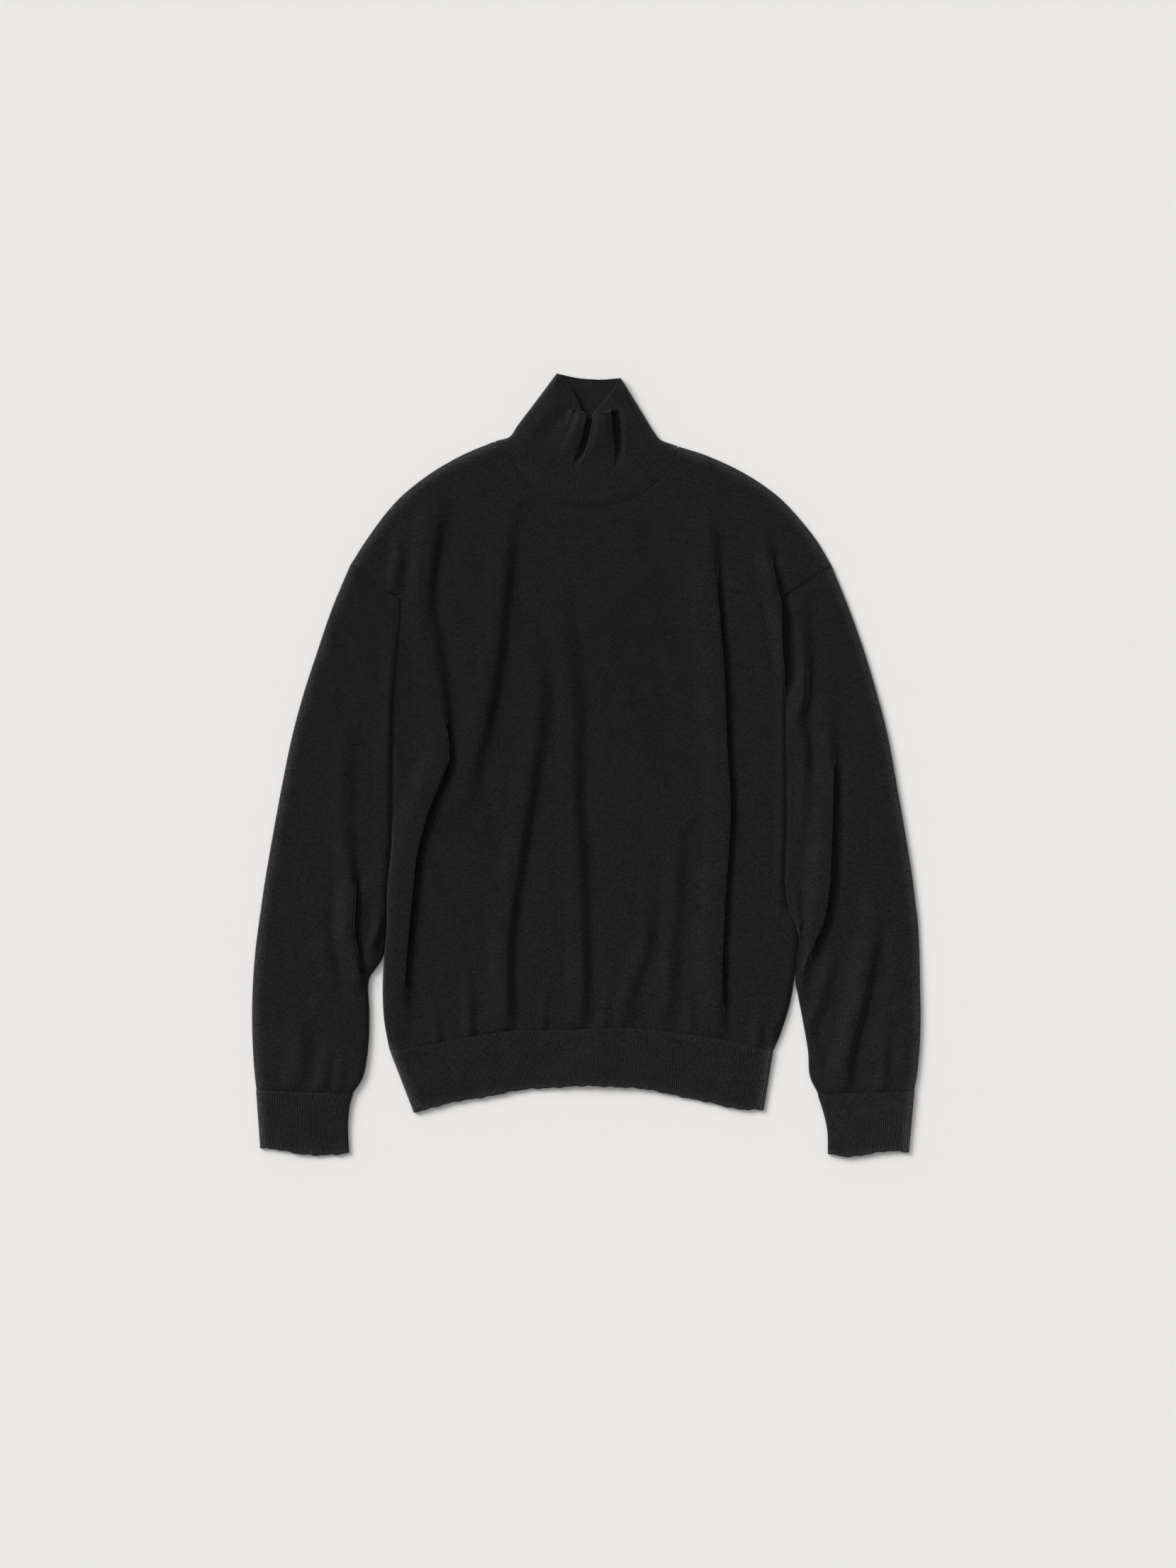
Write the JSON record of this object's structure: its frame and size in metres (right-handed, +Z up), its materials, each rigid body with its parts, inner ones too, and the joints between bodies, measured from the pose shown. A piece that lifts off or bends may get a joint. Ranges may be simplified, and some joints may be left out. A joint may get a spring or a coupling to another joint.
{
  "type": "turtleneck sweater",
  "caption": "Oversize fine-knit turtleneck sweater with dropped shoulders and ribbed cuffs, hem and collar, laid flat on its back with the sleeves beside the body.",
  "frame": {"origin": "centre of the flat-laid garment's box in plan, on the surface that it lies on", "axes": "+Z up from the surface, +Y from the hem to the neck, +X to the right as seen from above"},
  "size_m": [0.6416, 0.7522, 0.017],
  "materials": {
    "jersey": "fine plain knit, matt, faintly mottled black with a soft nap",
    "ribbing": "fine 1x1 rib knit, matt black with short fuzz at its edges"
  },
  "bodies": {
    "root": {"front": "jersey", "back": "jersey", "sleeve_left": "jersey", "sleeve_right": "jersey", "cuff_left": "ribbing", "cuff_right": "ribbing", "hem_band": "ribbing", "collar": "ribbing"}
  },
  "joints": []
}
